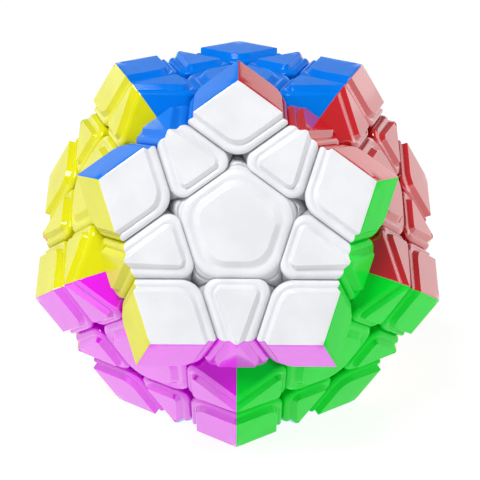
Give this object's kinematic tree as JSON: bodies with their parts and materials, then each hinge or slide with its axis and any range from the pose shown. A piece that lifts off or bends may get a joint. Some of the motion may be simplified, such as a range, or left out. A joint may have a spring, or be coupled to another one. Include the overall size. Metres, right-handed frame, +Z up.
{
  "type": "dodecahedron twisty puzzle",
  "caption": "Twelve-sided twisty puzzle with sculpted coloured pieces and turning layers, its front layer stopped half a step round.",
  "frame": {"origin": "middle of the light blue bottom face that the puzzle rests on, straight below the core", "axes": "+Z up, out of the blue top face; the white front face looks along -Y and up, its normal 26.57 degrees above -Y"},
  "size_m": [0.0864, 0.0884, 0.0793],
  "materials": {
    "plastic_white": "gloss moulded",
    "plastic_blue": "gloss moulded",
    "plastic_red": "gloss moulded",
    "plastic_green": "gloss moulded",
    "plastic_magenta": "gloss moulded",
    "plastic_yellow": "gloss moulded",
    "plastic_pink": "gloss moulded",
    "plastic_lime": "gloss moulded",
    "plastic_cream": "gloss moulded",
    "plastic_orange": "gloss moulded",
    "plastic_grey": "gloss moulded",
    "plastic_light_blue": "gloss moulded",
    "core_plastic": "satin moulded",
    "screw_steel": "plated",
    "spring_steel": "drawn wire"
  },
  "bodies": {
    "frame": {"core_with_nine_centres": "core_plastic", "corner_blue_pink_red": "plastic_blue", "corner_magenta_orange_yellow": "plastic_magenta", "corner_pink_grey_cream": "plastic_pink", "corner_red_cream_green": "plastic_red", "corner_red_pink_cream": "plastic_red", "edge_blue_pink": "plastic_blue", "edge_blue_red": "plastic_blue", "edge_blue_yellow": "plastic_blue", "edge_cream_grey": "plastic_cream", "edge_green_cream": "plastic_green", "edge_green_magenta": "plastic_green", "edge_magenta_orange": "plastic_magenta", "edge_magenta_yellow": "plastic_magenta", "edge_orange_grey": "plastic_orange", "edge_pink_cream": "plastic_pink", "edge_pink_grey": "plastic_pink", "edge_red_cream": "plastic_red", "edge_red_green": "plastic_red", "edge_red_pink": "plastic_red", "edge_yellow_orange": "plastic_yellow", "screw_light_blue": "screw_steel", "screw_lime": "screw_steel", "screw_white": "screw_steel", "spring_light_blue": "spring_steel", "spring_lime": "spring_steel", "spring_white": "spring_steel"},
    "white_layer": {"centre_white": "plastic_white", "corner_white_blue_red": "plastic_white", "corner_white_green_magenta": "plastic_white", "corner_white_magenta_yellow": "plastic_white", "corner_white_red_green": "plastic_white", "corner_white_yellow_blue": "plastic_white", "edge_white_blue": "plastic_white", "edge_white_green": "plastic_white", "edge_white_magenta": "plastic_white", "edge_white_red": "plastic_white", "edge_white_yellow": "plastic_white"},
    "lime_layer": {"centre_lime": "plastic_lime", "corner_blue_lime_pink": "plastic_blue", "corner_blue_yellow_lime": "plastic_blue", "corner_lime_orange_grey": "plastic_lime", "corner_pink_lime_grey": "plastic_pink", "corner_yellow_orange_lime": "plastic_yellow", "edge_blue_lime": "plastic_blue", "edge_lime_grey": "plastic_lime", "edge_lime_orange": "plastic_lime", "edge_pink_lime": "plastic_pink", "edge_yellow_lime": "plastic_yellow"},
    "light_blue_layer": {"centre_light_blue": "plastic_light_blue", "corner_cream_grey_light_blue": "plastic_cream", "corner_green_cream_light_blue": "plastic_green", "corner_green_light_blue_magenta": "plastic_green", "corner_magenta_light_blue_orange": "plastic_magenta", "corner_orange_light_blue_grey": "plastic_orange", "edge_cream_light_blue": "plastic_cream", "edge_green_light_blue": "plastic_green", "edge_grey_light_blue": "plastic_grey", "edge_magenta_light_blue": "plastic_magenta", "edge_orange_light_blue": "plastic_orange"}
  },
  "joints": [
    {"name": "white_turn", "type": "hinge", "parent": "frame", "child": "white_layer", "pos_m": [0, 0, 0.03675], "axis": [0, -0.8944, 0.4472], "continuous": true},
    {"name": "lime_turn", "type": "hinge", "parent": "frame", "child": "lime_layer", "pos_m": [0, 0, 0.03675], "axis": [-0.5257, 0.7236, 0.4472], "continuous": true},
    {"name": "light_blue_turn", "type": "hinge", "parent": "frame", "child": "light_blue_layer", "pos_m": [0, 0, 0.03675], "axis": [0, 0, -1], "continuous": true}
  ]
}
